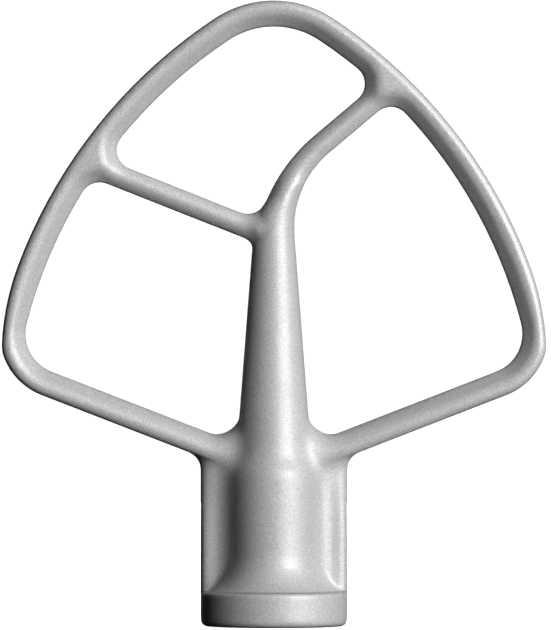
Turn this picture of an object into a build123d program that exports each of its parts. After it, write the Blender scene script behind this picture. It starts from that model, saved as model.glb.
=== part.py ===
# Flat beater for a tilt-head stand mixer: one casting, standing on its hub with the paddle up.
# Millimetres and degrees. X runs across the paddle, Y through its thickness, Z up the bore's axis.
# The origin is on the bore's axis in the plane of the hub's rim. The drive-pin slot faces +Y.
import os
from math import atan2, cos, dist, hypot, radians, sin, sqrt, tan

from build123d import *

# Overall size
height = 155.0            # rim to the tip of the loop
width = 135.0             # across the heels, before their corners are rounded

# Section of the paddle, measured from the parting plane at Y = 0
half_depth = 4.4          # parting plane to the flat crest
half_land = 1.0           # half the upright land at a window's edge
facet_angle = 46.0        # slope of a window's facet against the parting plane
draft = 3.0               # draft of the outer wall

# Outline of the loop
tip_r = 26.6              # arc over the tip
flank_r = 127.0           # long flank
lower_flank_r = 64.0      # tighter stretch just above the heel
tuck = 1.8                # how far that stretch draws the outline in at the heel
heel_r = 16.3             # heel, where the loop turns into the arm
heel_z = 72.4             # height of the heel arc's centre
heel_break = 14.5         # angle below the horizontal where the flank ends in a soft corner
heel_soft_r = 8.0         # rounding of that corner
arm_slope = 21.2          # fall of the arms towards the hub
band = 6.5                # width of the loop seen from the front
arm_width = 6.4           # width of an arm seen from the front
heel_window_r = 10.0      # window's corner inside the heel
loop_height = height - heel_z

# Cross bar and strut, set from the column's neck
neck_z = heel_z + 0.2615 * loop_height
cross_slope = 21.6        # fall of the cross bar towards the column
cross_width = 5.65
cross_lift = 2.2          # neck up to the cross bar's centre line, on the bore's axis
strut_slope = 40.2        # rise of the strut away from the column
strut_width = 5.7
strut_lift = 15.35        # neck up to the strut's centre line, on the bore's axis
stem_left_x = -5.15       # leftmost reach of the bend on the stem's left
stem_left_r = 42.0        # bend of the stem's left side
stem_right_r = 24.1       # bend of the stem's right side

# Roundings of the paddle, as shares of the bars
facet_run = (half_depth - half_land) / tan(radians(facet_angle))
crest_flat = min(band, arm_width) - facet_run
outer_edge_r = 0.5 * crest_flat
crest_r = 0.41 * crest_flat / tan(radians(facet_angle / 2))
ridge_r = 0.45 * min(cross_width, strut_width)

# Corners of the windows
corner_r = 4.8            # corner between two bars
crotch_r = 3.3            # tighter corner under the cross bar at the column
root_corner_r = 6.0       # wider corner between an arm and the column

# Column
neck_r = 5.4              # narrowest round section, under the cross bar
root_r = 9.4              # lower end of the taper
web_inset = 0.55          # how far the flat web stays inside the round column
nape_rise = 16.0          # height over which the round column thins out into the stem
nape_inset = 0.15         # how far the nape's sides stay inside the stem's

# Hub
ring_r = 18.15            # rim
ring_height = 8.5
ring_foot_r = 1.4         # rounding of the rim's lower edge
ring_top_r = 0.5          # rounding of the rim's upper edge
boss_r = 11.4             # round boss between the rim and the arms
shoulder_drop = 1.0       # boss starts to narrow this far under the arms' lower edge
shoulder_rise = 3.7       # height over which it narrows to the column
flare_z = 18.0            # where the boss starts to flare out to the rim
ledge = 1.55              # flat left on top of the rim outside the flare
wing_half = 2.1           # half the thickness of a wing
wing_edge_r = 1.9         # rounding of a wing's edges
pocket_r = 5.4            # hollow between a wing and the boss
wing_corner_r = 4.7       # hollow between a wing and the arm over it

# Bore and drive-pin slot
bore_r = 6.5
bore_depth = 38.0
bore_lead = 0.8           # chamfer at the mouth
slot_width = 6.0
slot_top_z = 17.0
slot_turn = 32.0          # twist that locks the beater on its pin
slot_drop = 1.4           # depth of the seat at the slot's end

slack = 0.5               # overlap that carries a cut past a face


def polar(centre, r, angle):
    return (centre[0] + r * cos(radians(angle)), centre[1] + r * sin(radians(angle)))


def flip(p):
    return (-p[0], p[1])


def toward(start, through, r):
    """The point at distance r from start, in the direction of through."""
    d = dist(start, through)
    return tuple(a + (b - a) * r / d for a, b in zip(start, through))


def arc(centre, r, start, end):
    """An arc about centre that takes the short way from start to end."""
    middle = tuple((a + b) / 2 for a, b in zip(start, end))
    return ThreePointArc(start, toward(centre, middle, r), end)


def crossing(a, a_r, b, b_r):
    """Where two circles cross, on the left going from centre b to centre a."""
    d = dist(a, b)
    along = (d**2 + b_r**2 - a_r**2) / (2 * d)
    aside = sqrt(b_r**2 - along**2)
    ux, uz = (a[0] - b[0]) / d, (a[1] - b[1]) / d
    return (b[0] + along * ux - aside * uz, b[1] + along * uz + aside * ux)


def nearest(face, p):
    return min(face.vertices(), key=lambda v: hypot(v.X - p[0], v.Z - p[1]))


def bar(p, slope, wide, left, right):
    """A straight strip through p, running from left to right along its own length."""
    with BuildSketch(Plane.XZ) as strip:
        with Locations(Location((p[0], p[1], 0), (0, 0, slope))):
            with Locations(((left + right) / 2, 0)):
                Rectangle(right - left, wide)
    return strip.sketch


# Centres and joints of the outer outline's left half: the flank is tangent to the tip arc
# and would pass the soft corner at the heel by the tuck, which the tighter stretch takes in.
tip_c = (0, height - tip_r)
heel_c = (heel_r * cos(radians(heel_break)) - width / 2, heel_z)
flank_end = polar(heel_c, heel_r, 180 + heel_break)
flank_c = crossing(flank_end, flank_r - tuck, tip_c, flank_r - tip_r)
tip_end = toward(flank_c, tip_c, flank_r)
lower_c = crossing(flank_c, flank_r - lower_flank_r, flank_end, lower_flank_r)
lower_start = toward(flank_c, lower_c, flank_r)
arm_start = polar(heel_c, heel_r, 270 - arm_slope)
arm_root = (0, arm_start[1] + arm_start[0] * tan(radians(arm_slope)))
shoulder_z = arm_root[1] + boss_r * tan(radians(arm_slope)) - shoulder_drop
root_z = shoulder_z + shoulder_rise

with BuildSketch(Plane.XZ) as outline:
    with BuildLine():
        ThreePointArc(tip_end, (0, height), flip(tip_end))
        for side in (lambda p: p, flip):
            arc(side(flank_c), flank_r, side(tip_end), side(lower_start))
            arc(side(lower_c), lower_flank_r, side(lower_start), side(flank_end))
            arc(side(heel_c), heel_r, side(flank_end), side(arm_start))
            Line(side(arm_start), side(arm_root))
    make_face()
contour = outline.sketch.faces()[0]
for side in (lambda p: p, flip):
    contour = contour.fillet_2d(heel_soft_r, [nearest(contour, side(flank_end))])

# Room inside the loop: two flank discs meet in an arch, over the V of the arms
arm_top = (0, arm_root[1] + arm_width / cos(radians(arm_slope)))
arm_far = (-width / 2, arm_top[1] + tan(radians(arm_slope)) * width / 2)
with BuildSketch(Plane.XZ) as room:
    with Locations(flank_c):
        Circle(flank_r - band)
    with Locations(flip(flank_c)):
        Circle(flank_r - band, mode=Mode.INTERSECT)
    with BuildSketch(mode=Mode.INTERSECT):
        with BuildLine():
            Polyline(arm_top, arm_far, (arm_far[0], height), (-arm_far[0], height),
                     flip(arm_far), close=True)
        make_face()
arch = room.sketch.faces()[0]
arch = arch.fillet_2d(tip_r - band, [nearest(arch, (0, height))])
for far in (arm_far, flip(arm_far)):
    arch = arch.fillet_2d(heel_window_r, [nearest(arch, far)])

# The strut runs straight, then bends down into the stem.
rise = radians(strut_slope)
strut_z = neck_z + strut_lift
run, normal = (cos(rise), sin(rise)), (-sin(rise), cos(rise))
lean = (root_r - neck_r) / (neck_z - root_z)
side_normal = (1 / hypot(1, lean), lean / hypot(1, lean))


def strut_point(length, side):
    """A point on the strut's upper side (side 1) or lower side (side -1)."""
    return tuple(p + d * length + n * side * strut_width / 2
                 for p, d, n in zip((0, strut_z), run, normal))


def below(point, d, x):
    """The point at x that lies d under the strut's side through point."""
    return (x, point[1] + (-d - (x - point[0]) * normal[0]) / normal[1])


upper, lower = strut_point(0, 1), strut_point(0, -1)
left_c = below(upper, stem_left_r, stem_left_x + stem_left_r)
neck_side = (neck_r, neck_z)
level = -stem_right_r + normal[0] * lower[0] + normal[1] * lower[1]
upright = stem_right_r + side_normal[0] * neck_side[0] + side_normal[1] * neck_side[1]
det = normal[0] * side_normal[1] - normal[1] * side_normal[0]
right_c = ((level * side_normal[1] - normal[1] * upright) / det,
           (normal[0] * upright - level * side_normal[0]) / det)
bend_top_left = tuple(c + n * stem_left_r for c, n in zip(left_c, normal))
bend_top_right = tuple(c + n * stem_right_r for c, n in zip(right_c, normal))
bend_foot_right = tuple(c - n * stem_right_r for c, n in zip(right_c, side_normal))
strut_end = width / 2
cross_z = neck_z + cross_lift
# The left side ends inside the cross bar.
foot_left_z = cross_z - stem_left_x * tan(radians(cross_slope))
bend_foot_left = (left_c[0] - sqrt(stem_left_r**2 - (foot_left_z - left_c[1])**2), foot_left_z)
with BuildSketch(Plane.XZ) as strut:
    with BuildLine():
        Line(strut_point(strut_end, 1), bend_top_left)
        arc(left_c, stem_left_r, bend_top_left, bend_foot_left)
        Polyline(bend_foot_left, (0, neck_z - neck_r),
                 (bend_foot_right[0] - web_inset, neck_z - neck_r), bend_foot_right)
        arc(right_c, stem_right_r, bend_foot_right, bend_top_right)
        Polyline(bend_top_right, strut_point(strut_end, -1), strut_point(strut_end, 1))
    make_face()

# The flat web inside the column is narrower than the round column, which covers it.
with BuildSketch(Plane.XZ) as web:
    with BuildLine():
        top, foot = neck_z + neck_r / 2, arm_root[1]
        spread = neck_r - web_inset
        flare_out = spread + lean * (top - foot)
        Polyline((-spread, top), (spread, top), (flare_out, foot), (-flare_out, foot), close=True)
    make_face()

cross_bar = bar((0, cross_z), -cross_slope, cross_width, -width / 2, 0)
windows = Sketch() + [arch] - cross_bar - strut.sketch - web.sketch


def rounded(face, r, *corners):
    for p in corners:
        face = face.fillet_2d(r, [nearest(face, p)])
    return face


top_window = windows.faces().sort_by(Axis.Z)[-1]
left_window, right_window = (windows.faces() - [top_window]).sort_by(Axis.X)
flank_cross = (-width / 3, cross_z + tan(radians(cross_slope)) * width / 3)
flank_strut = (width / 5, strut_z + tan(rise) * width / 5)
column_foot = root_r + lean * arm_width
top_window = rounded(top_window, corner_r, flank_cross, flank_strut,
                     (stem_left_x, neck_z + neck_r))
left_window = rounded(left_window, corner_r, flank_cross)
left_window = rounded(left_window, root_corner_r, (-column_foot, arm_top[1]))
left_window = rounded(left_window, crotch_r, (-neck_r, neck_z))
right_window = rounded(right_window, corner_r, flank_strut)
right_window = rounded(right_window, root_corner_r, (column_foot, arm_top[1]))

# Paddle: a plate, then each window with its upright land and its sloped facets
paddle = extrude(contour, half_depth, both=True, taper=draft)
facet_rise = half_depth - half_land + slack
for window in (top_window, left_window, right_window):
    paddle -= extrude(window, half_land, both=True)
    for way in (-1, 1):
        face = window.moved(Location((0, -way * half_land, 0)))
        paddle -= extrude(face, way * facet_rise, taper=facet_angle - 90)


def on_crest(edge):
    return all(abs(abs((edge @ t).Y) - half_depth) < 0.01 for t in (0, 0.5, 1))


def rims(part, inner):
    """The crest's edges: the outer rim, or the rims round the windows."""
    faces = [f for f in part.faces() if f.geom_type == GeomType.PLANE
             and abs(abs(f.center().Y) - half_depth) < 0.01]
    edges = ShapeList()
    for f in faces:
        if inner:
            for wire in f.inner_wires():
                edges += wire.edges()
        else:
            edges += f.outer_wire().edges()
    return edges


# Ridges are rounded first, then the rims of the crest.
paddle = paddle.solids()[0]
ridges = [e for e in paddle.edges() if not on_crest(e)
          and min(abs((e @ t).Y) for t in (0, 0.5, 1)) > half_depth / 2]
paddle = paddle.fillet(ridge_r, ridges)
paddle = paddle.fillet(crest_r, rims(paddle, True))
paddle = paddle.fillet(outer_edge_r, rims(paddle, False))


def taper_r(z):
    return root_r - lean * (z - root_z)


# Nape: the round column bends over and thins out until the flat stem takes over.
def nape_section(step, follow):
    z = neck_z + step
    left, right = (c[0] - sqrt(r**2 - (z - c[1])**2)
                   for c, r in ((left_c, stem_left_r), (right_c, stem_right_r)))
    x = follow * (left + right) / 2
    deep = taper_r(z)
    wide = min(deep, right - x - nape_inset * follow)
    return Plane.XY.offset(z) * Pos(x, 0) * Rot(0, 0, 90) * Ellipse(deep, wide)


nape = loft([nape_section(nape_rise * k / 4, follow)
             for k, follow in enumerate((0, 0.1, 0.6, 1, 1))])

# Hub and column: foot ring, hollow flare, boss and taper turned about the bore
flare_foot = (ring_r - ledge, ring_height)
flare_r = dist(flare_foot, (boss_r, flare_z))**2 / (2 * (flare_foot[0] - boss_r))
with BuildSketch(Plane.XZ) as turned:
    with BuildLine():
        Polyline((0, 0), (ring_r, 0), (ring_r, ring_height), flare_foot)
        arc((boss_r + flare_r, flare_z), flare_r, flare_foot, (boss_r, flare_z))
        Polyline((boss_r, flare_z), (boss_r, shoulder_z), (root_r, root_z),
                 (neck_r, neck_z), (0, neck_z), (0, 0))
    make_face()
profile = turned.sketch.faces()[0]
shoulder_length = hypot(boss_r - root_r, shoulder_rise)
softest = shoulder_length / tan(atan2(boss_r - root_r, shoulder_rise) / 2)
for r, corner in ((ring_foot_r, (ring_r, 0)), (ring_top_r, (ring_r, ring_height)),
                  (0.4 * softest, (boss_r, shoulder_z)), (0.55 * softest, (root_r, root_z))):
    profile = profile.fillet_2d(r, [nearest(profile, corner)])
hub = revolve(profile, Axis.Z)

# Wings: a flat cross between rim and arms, hollowed beside the boss
wing_reach = ring_r + 2 * wing_corner_r
with BuildSketch(Plane.XY) as cross:
    Circle(boss_r)
    Rectangle(2 * wing_reach, 2 * wing_half)
meets = sqrt(boss_r**2 - wing_half**2)
plan = cross.sketch.faces()[0]
for x in (-meets, meets):
    for y in (-wing_half, wing_half):
        plan = plan.fillet_2d(pocket_r, [min(plan.vertices(),
                                             key=lambda v: hypot(v.X - x, v.Y - y))])
wing_foot = arm_root[1] + tan(radians(arm_slope)) * ring_r
with BuildSketch(Plane.XZ) as wing_side:
    with BuildLine():
        inside = arm_width / 2
        far_x, far_z = wing_reach, arm_root[1] + tan(radians(arm_slope)) * wing_reach
        Polyline((-ring_r, ring_height / 2), (ring_r, ring_height / 2), (ring_r, wing_foot),
                 (far_x, far_z), (far_x, far_z + inside), (0, arm_root[1] + inside),
                 (-far_x, far_z + inside), (-far_x, far_z), (-ring_r, wing_foot), close=True)
    make_face()
silhouette = wing_side.sketch.faces()[0]
for x in (-ring_r, ring_r):
    silhouette = silhouette.fillet_2d(wing_corner_r, [nearest(silhouette, (x, wing_foot))])
wings = extrude(plan, arm_root[1] + wing_reach) & extrude(silhouette, boss_r, both=True)
wings = wings.solids()[0]
wing_rims = [e for e in wings.edges()
             if all(abs(abs((e @ t).Y) - wing_half) < 0.01
                    and ring_r - 0.1 < abs((e @ t).X) < wing_reach - 0.01
                    for t in (0.1, 0.5, 0.9))]
wings = wings.fillet(wing_edge_r, wing_rims)
# Above the boss's shoulder the wings leave room round the column, which the arms fill.
with BuildSketch(Plane.XZ) as groove:
    with BuildLine():
        Polyline((0, shoulder_z), (boss_r, shoulder_z),
                 (boss_r + shoulder_rise, shoulder_z + 2 * boss_r),
                 (0, shoulder_z + 2 * boss_r), (0, shoulder_z))
    make_face()
wings -= revolve(groove.sketch, Axis.Z)

# Bore with its lead, and the slot the drive pin twists into
with BuildSketch(Plane.XZ) as bore_side:
    with BuildLine():
        Polyline((0, -slack), (bore_r + bore_lead + slack, -slack), (bore_r, bore_lead),
                 (bore_r, bore_depth), (0, bore_depth), (0, -slack))
    make_face()
bore = revolve(bore_side.sketch, Axis.Z)
cut_r = ring_r + slack
half_slot = slot_width / 2
pin_z = slot_top_z - half_slot


def slot_leg(foot_z, turn):
    """An upright leg of the slot with a round top, turned about the bore."""
    with BuildSketch(Plane.XZ) as leg:
        with Locations((0, (foot_z + pin_z) / 2)):
            Rectangle(slot_width, pin_z - foot_z)
        with Locations((0, pin_z)):
            Circle(half_slot)
        if foot_z > 0:
            with Locations((0, foot_z)):
                Circle(half_slot)
    return extrude(leg.sketch, -cut_r).rotate(Axis.Z, turn)


with BuildSketch(Plane.YZ) as across:
    with Locations((cut_r / 2, pin_z)):
        Rectangle(cut_r, slot_width)
sweep_cut = revolve(across.sketch, Axis.Z, slot_turn)
slot = slot_leg(-slack, 0) + slot_leg(pin_z - slot_drop, slot_turn) + sweep_cut

flat_beater = (paddle + nape + hub + wings - bore - slot).solids()[0]

os.makedirs("parts", exist_ok=True)
export_step(flat_beater, "parts/flat_beater.step")
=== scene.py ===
import math

import bmesh
import bpy
from bpy.props import FloatProperty, FloatVectorProperty, PointerProperty
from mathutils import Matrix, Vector


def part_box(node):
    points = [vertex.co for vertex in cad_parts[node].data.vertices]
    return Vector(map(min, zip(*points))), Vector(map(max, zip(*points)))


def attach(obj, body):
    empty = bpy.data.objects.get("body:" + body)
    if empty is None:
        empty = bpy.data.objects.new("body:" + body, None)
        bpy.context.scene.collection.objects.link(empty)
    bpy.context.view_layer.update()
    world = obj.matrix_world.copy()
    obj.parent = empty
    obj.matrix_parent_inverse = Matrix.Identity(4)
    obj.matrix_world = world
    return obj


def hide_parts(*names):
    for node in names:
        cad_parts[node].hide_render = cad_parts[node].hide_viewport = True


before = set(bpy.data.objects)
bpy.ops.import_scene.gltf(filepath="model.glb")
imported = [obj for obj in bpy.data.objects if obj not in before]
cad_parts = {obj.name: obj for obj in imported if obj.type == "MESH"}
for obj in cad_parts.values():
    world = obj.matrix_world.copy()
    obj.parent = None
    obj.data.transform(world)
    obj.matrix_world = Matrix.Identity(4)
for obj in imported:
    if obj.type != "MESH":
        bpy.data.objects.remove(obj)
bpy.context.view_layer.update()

bl_info = {
    "name": "Flat Beater Dresser",
    "version": (1, 0, 0),
    "blender": (4, 5, 0),
    "location": "View3D > Sidebar > Beater",
    "description": "Finishes a stand mixer's flat beater and sets it in a small studio",
    "category": "Object",
}

BEATER_LOW, BEATER_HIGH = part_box("flat_beater")
MIDDLE_Z = (BEATER_LOW.z + BEATER_HIGH.z) / 2
MM = 0.001
DOT = 0.2477 * MM                           # one dot of the picture, at the beater

# Heights over the rim
PAINTED_SHADE_LINE_Z = (8.3 * MM, 8.55 * MM, 8.9 * MM)    # painted shade line where the flare meets the rim top: start, darkest and end
JOINS_Z = (35 * MM, 48 * MM)                # where the arms meet the column and the boss
NAPE_Z = (92 * MM, 118 * MM)                # where the round column thins out into the stem
NAPE_TOP_Z = 105 * MM                       # upper part of the nape
FILL_IN_Z = (24 * MM, 36 * MM)              # the coating's fill grows over this height
FILL_OUT_Z = (50 * MM, 62 * MM)             # and fades over this one


class CoatingSettings(bpy.types.PropertyGroup):
    """Form and finish of the coated casting."""
    colour: FloatVectorProperty(
        name="Coating colour", description="Light grey of the coating",
        subtype="COLOR", size=3, min=0, max=1, default=(0.69, 0.69, 0.69))
    shade: FloatVectorProperty(
        name="Shade colour", description="Darker grey between the flakes",
        subtype="COLOR", size=3, min=0, max=1, default=(0.52, 0.52, 0.52))
    metallic: FloatProperty(
        name="Metallic", description="Share of metal flake in the coating",
        subtype="FACTOR", min=0, max=1, default=0.15)
    roughness: FloatProperty(
        name="Roughness", description="Mean roughness of the satin surface",
        subtype="FACTOR", min=0, max=1, default=0.5)
    gloss: FloatProperty(
        name="Gloss", description="Strength of the smoother film over the coating",
        subtype="FACTOR", min=0, max=1, default=0.17)
    grain: FloatProperty(
        name="Grain", description="Size of the coating's finest speckle",
        subtype="DISTANCE", unit="LENGTH", default=0.35 * MM)
    # Painted shade: how dark the line painted round the top of the rim is
    painted_shade_strength: FloatProperty(
        name="Painted shade line", description="Darkening of the thin seam on top of the rim",
        subtype="FACTOR", min=0, max=1, default=0.6)
    edge_soft: FloatProperty(
        name="Edge softness",
        description="Reach of the coating's fill where the arms meet the column",
        subtype="DISTANCE", unit="LENGTH", default=4.5 * MM)
    relief: FloatProperty(
        name="Relief", description="Height of the coating's fine texture",
        subtype="DISTANCE", unit="LENGTH", default=0.02 * MM)
    cell: FloatProperty(
        name="Mesh cell", description="Size of a face on the softened casting",
        subtype="DISTANCE", unit="LENGTH", default=0.55 * MM)


class StageSettings(bpy.types.PropertyGroup):
    """Studio around the beater."""
    camera_distance: FloatProperty(
        name="Camera distance", description="From the beater's middle to the camera",
        subtype="DISTANCE", unit="LENGTH", default=2.3)
    frame_height: FloatProperty(
        name="Frame height", description="Height that the picture takes in at the beater",
        subtype="DISTANCE", unit="LENGTH", default=630 * DOT)
    camera_side: FloatProperty(
        name="Camera side shift", description="Camera's place to the right of the bore's axis",
        subtype="DISTANCE", unit="LENGTH", default=(275.5 - 273.9) * DOT)
    camera_drop: FloatProperty(
        name="Camera drop", description="Camera's place under the beater's middle",
        subtype="DISTANCE", unit="LENGTH", default=0.42 * MM)
    key_power: FloatProperty(
        name="Key light", description="Power of the large soft box on the right, in watts",
        default=21.0)
    sheen_power: FloatProperty(
        name="Sheen light",
        description="Power of the box over the key, seen only in the gloss, in watts",
        default=2.8)
    back_power: FloatProperty(
        name="Back light", description="Power of the soft light behind, in watts",
        default=24.0)
    surround: FloatProperty(
        name="Surround", description="Even light from all round",
        min=0, max=1, default=0.006)
    floor_tone: FloatProperty(
        name="Floor tone", description="Pale grey of the floor and backdrop",
        subtype="FACTOR", min=0, max=1, default=0.92)
    floor_glow: FloatProperty(
        name="Floor glow", description="Light that the pale paper gives off by itself",
        min=0, max=2, default=1.1)


def new_material(name):
    """A node material with a Principled shader, its tree and that shader."""
    material = bpy.data.materials.new(name)
    material.use_nodes = True
    tree = material.node_tree
    tree.nodes.clear()
    shader = tree.nodes.new("ShaderNodeBsdfPrincipled")
    output = tree.nodes.new("ShaderNodeOutputMaterial")
    tree.links.new(shader.outputs["BSDF"], output.inputs["Surface"])
    return material, tree, shader


def noise(tree, coords, scale, detail):
    """A noise texture with so many cells in a metre."""
    node = tree.nodes.new("ShaderNodeTexNoise")
    node.inputs["Scale"].default_value = scale
    node.inputs["Detail"].default_value = detail
    tree.links.new(coords, node.inputs["Vector"])
    return node.outputs["Fac"]


def spread(tree, value, low, high, to_low, to_high):
    """Maps a value from one range to another."""
    node = tree.nodes.new("ShaderNodeMapRange")
    for socket, number in zip(("From Min", "From Max", "To Min", "To Max"),
                              (low, high, to_low, to_high)):
        node.inputs[socket].default_value = number
    tree.links.new(value, node.inputs["Value"])
    return node.outputs["Result"]


def times(tree, a, b):
    """Multiplies two varying values."""
    node = tree.nodes.new("ShaderNodeMath")
    node.operation = "MULTIPLY"
    tree.links.new(a, node.inputs[0])
    tree.links.new(b, node.inputs[1])
    return node.outputs["Value"]


def colour_mix(tree, factor, a, b):
    """Mixes two colours, of which the first may be a link."""
    node = tree.nodes.new("ShaderNodeMix")
    node.data_type = "RGBA"
    tree.links.new(factor, node.inputs["Factor"])
    if isinstance(a, bpy.types.NodeSocket):
        tree.links.new(a, node.inputs["A"])
    else:
        node.inputs["A"].default_value = (*a, 1)
    node.inputs["B"].default_value = (*b, 1)
    return node.outputs["Result"]


def coating_material(settings):
    """Satin light grey coating with metal flake over an aluminium casting."""
    material, tree, shader = new_material("coated_casting")
    coords = tree.nodes.new("ShaderNodeTexCoord").outputs["Object"]
    parts = tree.nodes.new("ShaderNodeSeparateXYZ")
    tree.links.new(coords, parts.inputs["Vector"])
    height = parts.outputs["Z"]

    # Flaked grey, with painted shade: a thin dark line painted round the top of the rim, where
    # the flare meets it
    speckle = noise(tree, coords, 1 / settings.grain, 1.0)
    flakes = colour_mix(tree, spread(tree, speckle, 0.36, 0.64, 0.0, 1.0),
                        settings.shade, settings.colour)
    # Painted shade: the colour goes to near black in a thin band at the rim's top, in place of
    # the shade in that corner
    start, line, end = PAINTED_SHADE_LINE_Z
    painted_shade_line = times(tree, spread(tree, height, start, line, 0, settings.painted_shade_strength),
                 spread(tree, height, line, end, 1, 0))
    tree.links.new(colour_mix(tree, painted_shade_line, flakes, (0.1, 0.1, 0.1)),
                   shader.inputs["Base Color"])

    # Satin finish that varies slowly over the surface
    cloud = noise(tree, coords, 60, 3.0)
    vary = 0.04
    tree.links.new(spread(tree, cloud, 0.3, 0.7, settings.roughness - vary,
                          settings.roughness + vary), shader.inputs["Roughness"])
    shader.inputs["Metallic"].default_value = settings.metallic
    shader.inputs["Coat Weight"].default_value = settings.gloss
    shader.inputs["Coat Roughness"].default_value = 0.18

    # The coating fills the corners at the joins, and its grain stands out a little
    bevel = tree.nodes.new("ShaderNodeBevel")
    bevel.samples = 16
    grow = spread(tree, height, *FILL_IN_Z, 0.05, 1)
    fade = spread(tree, height, *FILL_OUT_Z, 1, 0.05)
    tree.links.new(times(tree, grow, spread(tree, fade, 0, 1, 0, settings.edge_soft)),
                   bevel.inputs["Radius"])
    bump = tree.nodes.new("ShaderNodeBump")
    bump.inputs["Strength"].default_value = 0.5
    bump.inputs["Distance"].default_value = settings.relief
    tree.links.new(speckle, bump.inputs["Height"])
    tree.links.new(bevel.outputs["Normal"], bump.inputs["Normal"])
    tree.links.new(bump.outputs["Normal"], shader.inputs["Normal"])
    return material


def even_mesh(casting, cell):
    """An object with the casting's form in an even mesh."""
    data = casting.data.copy()
    data.name = "soft_casting"
    mesh = bmesh.new()
    mesh.from_mesh(data)
    bmesh.ops.remove_doubles(mesh, verts=mesh.verts, dist=0.002 * MM)
    mesh.to_mesh(data)
    mesh.free()
    piece = bpy.data.objects.new("soft_casting", data)
    bpy.context.scene.collection.objects.link(piece)
    remesh = piece.modifiers.new("even", "REMESH")
    remesh.mode = "VOXEL"
    remesh.voxel_size = cell
    even = bpy.data.meshes.new_from_object(
        piece.evaluated_get(bpy.context.evaluated_depsgraph_get()))
    piece.modifiers.clear()
    piece.data = even
    return piece


def between(value, limits):
    """Whether a value lies between two limits."""
    return limits[0] < value < limits[1]


def soft_casting(casting, cell):
    """The casting with its joins softened as a cast part's are, inside its own box."""
    piece = even_mesh(casting, cell)
    mesh = bmesh.new()
    mesh.from_mesh(piece.data)
    joins = [v for v in mesh.verts
             if between(v.co.z, JOINS_Z) and abs(v.co.x) < 16 * MM
             and abs(v.co.y) < 10 * MM and v.co.xy.length > 7.2 * MM]
    nape = [v for v in mesh.verts
            if between(v.co.z, NAPE_Z) and abs(v.co.x) < 15 * MM]
    nape_top = [v for v in nape if v.co.z > NAPE_TOP_Z and abs(v.co.y) > 1.6 * MM]
    for verts, rounds in ((joins, 20), (nape_top, 16), (nape, 3), (mesh.verts, 3)):
        for _ in range(rounds):
            bmesh.ops.smooth_vert(mesh, verts=verts, factor=0.5, use_axis_x=True,
                                  use_axis_y=True, use_axis_z=True)
    for v in mesh.verts:
        for k in range(3):
            v.co[k] = min(max(v.co[k], BEATER_LOW[k]), BEATER_HIGH[k])
    mesh.to_mesh(piece.data)
    mesh.free()
    piece.data.shade_smooth()
    return piece


class OBJECT_OT_beater_coating(bpy.types.Operator):
    """Soften the casting and give it its light grey coating"""
    bl_idname = "beater.coating"
    bl_label = "Coat the Beater"

    def execute(self, context):
        settings = context.scene.beater_coating
        casting = soft_casting(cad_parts["flat_beater"], settings.cell)
        casting.data.materials.clear()
        casting.data.materials.append(coating_material(settings))
        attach(casting, "root")
        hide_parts("flat_beater")
        return {"FINISHED"}


def soft_box(name, turn, rise, distance, wide, tall, power):
    """A rectangular light that faces the beater's middle from a turn and a rise in degrees."""
    turn, rise = math.radians(turn), math.radians(rise)
    middle = Vector((0, 0, MIDDLE_Z))
    place = middle + distance * Vector((math.sin(turn) * math.cos(rise),
                                        -math.cos(turn) * math.cos(rise), math.sin(rise)))
    data = bpy.data.lights.new(name, "AREA")
    data.shape = "RECTANGLE"
    data.size, data.size_y = wide, tall
    data.energy = power
    light = bpy.data.objects.new(name, data)
    light.location = place
    light.rotation_euler = (middle - place).to_track_quat("-Z", "Y").to_euler()
    bpy.context.scene.collection.objects.link(light)
    return light


def round_room(name, tone, glow):
    """A floor that curves up into a wall all round, lit as pale paper."""
    flat, bend, tall, steps, sides = 3.0, 1.0, 4.0, 12, 96
    profile = [(flat, 0.0)]
    for k in range(1, steps + 1):
        turn = math.pi / 2 * k / steps
        profile.append((flat + bend * math.sin(turn), bend - bend * math.cos(turn)))
    profile.append((flat + bend, tall))
    mesh = bmesh.new()
    middle = mesh.verts.new((0, 0, 0))
    rows = []
    for r, z in profile:
        rows.append([mesh.verts.new((r * math.cos(2 * math.pi * k / sides),
                                     r * math.sin(2 * math.pi * k / sides), z))
                     for k in range(sides)])
    for k in range(sides):
        n = (k + 1) % sides
        mesh.faces.new((middle, rows[0][k], rows[0][n]))
        for low, high in zip(rows, rows[1:]):
            mesh.faces.new((low[k], high[k], high[n], low[n]))
    data = bpy.data.meshes.new(name)
    mesh.to_mesh(data)
    mesh.free()
    data.shade_smooth()
    room = bpy.data.objects.new(name, data)
    bpy.context.scene.collection.objects.link(room)
    material, tree, shader = new_material("pale_paper")
    shader.inputs["Base Color"].default_value = (tone, tone, tone, 1)
    shader.inputs["Roughness"].default_value = 0.9
    shader.inputs["Emission Color"].default_value = (1, 1, 1, 1)
    shader.inputs["Emission Strength"].default_value = glow
    data.materials.append(material)
    return room


def studio_world(name, light):
    """An even, dim surround."""
    world = bpy.data.worlds.new(name)
    world.use_nodes = True
    background = world.node_tree.nodes["Background"]
    background.inputs["Color"].default_value = (light, light, light, 1)
    return world


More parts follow.
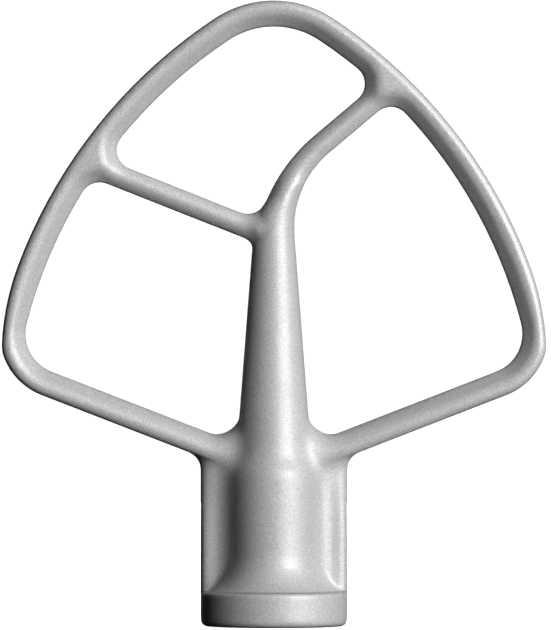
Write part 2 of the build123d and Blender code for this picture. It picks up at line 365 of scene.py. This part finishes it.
def front_camera(settings):
    """A long-lens camera, level with the beater's middle and square to the paddle."""
    data = bpy.data.cameras.new("camera")
    data.sensor_fit = "VERTICAL"
    data.sensor_height = 24
    data.lens = data.sensor_height * settings.camera_distance / settings.frame_height
    camera = bpy.data.objects.new("camera", data)
    camera.location = (settings.camera_side, -settings.camera_distance,
                       MIDDLE_Z - settings.camera_drop)
    camera.rotation_euler = (math.pi / 2, 0, 0)
    bpy.context.scene.collection.objects.link(camera)
    return camera


class OBJECT_OT_beater_stage(bpy.types.Operator):
    """Set up the pale floor, the soft lights and the camera"""
    bl_idname = "beater.stage"
    bl_label = "Build the Studio"

    def execute(self, context):
        settings = context.scene.beater_stage
        scene = context.scene
        room = round_room("studio_floor", settings.floor_tone, settings.floor_glow)
        room.visible_glossy = False
        room.visible_diffuse = False
        room.visible_shadow = False

        soft_box("key_light", 41, 14, 1.3, 1.0, 0.82, settings.key_power)
        sheen = soft_box("sheen_light", 41, 50, 1.3, 1.05, 0.85, settings.sheen_power)
        sheen.visible_diffuse = False
        back = soft_box("back_light", 183, 6, 1.5, 1.2, 0.7, settings.back_power)
        back.visible_glossy = False
        scene.world = studio_world("studio_world", settings.surround)
        scene.camera = front_camera(settings)
        scene.view_settings.view_transform = "Standard"
        return {"FINISHED"}


class VIEW3D_PT_beater(bpy.types.Panel):
    """Sizes and finishes of the beater"""
    bl_label = "Flat Beater"
    bl_space_type = "VIEW_3D"
    bl_region_type = "UI"
    bl_category = "Beater"

    def draw(self, context):
        for settings, operator in (("beater_coating", "beater.coating"),
                                   ("beater_stage", "beater.stage")):
            box = self.layout.box()
            group = getattr(context.scene, settings)
            for name in group.__annotations__:
                box.prop(group, name)
            box.operator(operator)


CLASSES = (CoatingSettings, StageSettings, OBJECT_OT_beater_coating,
           OBJECT_OT_beater_stage, VIEW3D_PT_beater)


def register():
    for cls in CLASSES:
        bpy.utils.register_class(cls)
    bpy.types.Scene.beater_coating = PointerProperty(type=CoatingSettings)
    bpy.types.Scene.beater_stage = PointerProperty(type=StageSettings)


def unregister():
    del bpy.types.Scene.beater_stage
    del bpy.types.Scene.beater_coating
    for cls in reversed(CLASSES):
        bpy.utils.unregister_class(cls)


def main():
    register()
    bpy.ops.beater.coating()
    bpy.ops.beater.stage()


if __name__ == "__main__":
    main()
